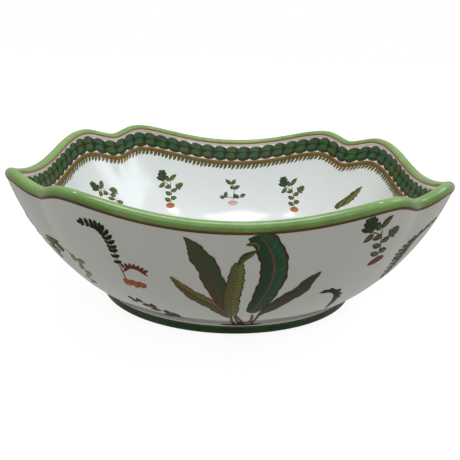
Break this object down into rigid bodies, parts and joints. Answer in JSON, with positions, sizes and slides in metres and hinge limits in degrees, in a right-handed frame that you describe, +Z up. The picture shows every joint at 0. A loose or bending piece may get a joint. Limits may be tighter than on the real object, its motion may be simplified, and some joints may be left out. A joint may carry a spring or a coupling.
{
  "type": "serving bowl",
  "caption": "Square-sided porcelain serving bowl with bowed, flared sides meeting in corner notches, a wavy rolled green rim and a round green foot ring.",
  "frame": {"origin": "on the surface the bowl stands on, at the centre of the foot ring", "axes": "+Z up along the bowl's axis; +X and +Y point out of the middles of the right and back sides"},
  "size_m": [0.2542, 0.2542, 0.0885],
  "materials": {
    "porcelain": "gloss",
    "foot_green": "gloss",
    "rim_green": "gloss"
  },
  "bodies": {
    "root": {"base_disc": "porcelain", "front_wall": "porcelain", "right_wall": "porcelain", "back_wall": "porcelain", "left_wall": "porcelain", "foot_ring": "foot_green", "rim_bead": "rim_green"}
  },
  "joints": []
}
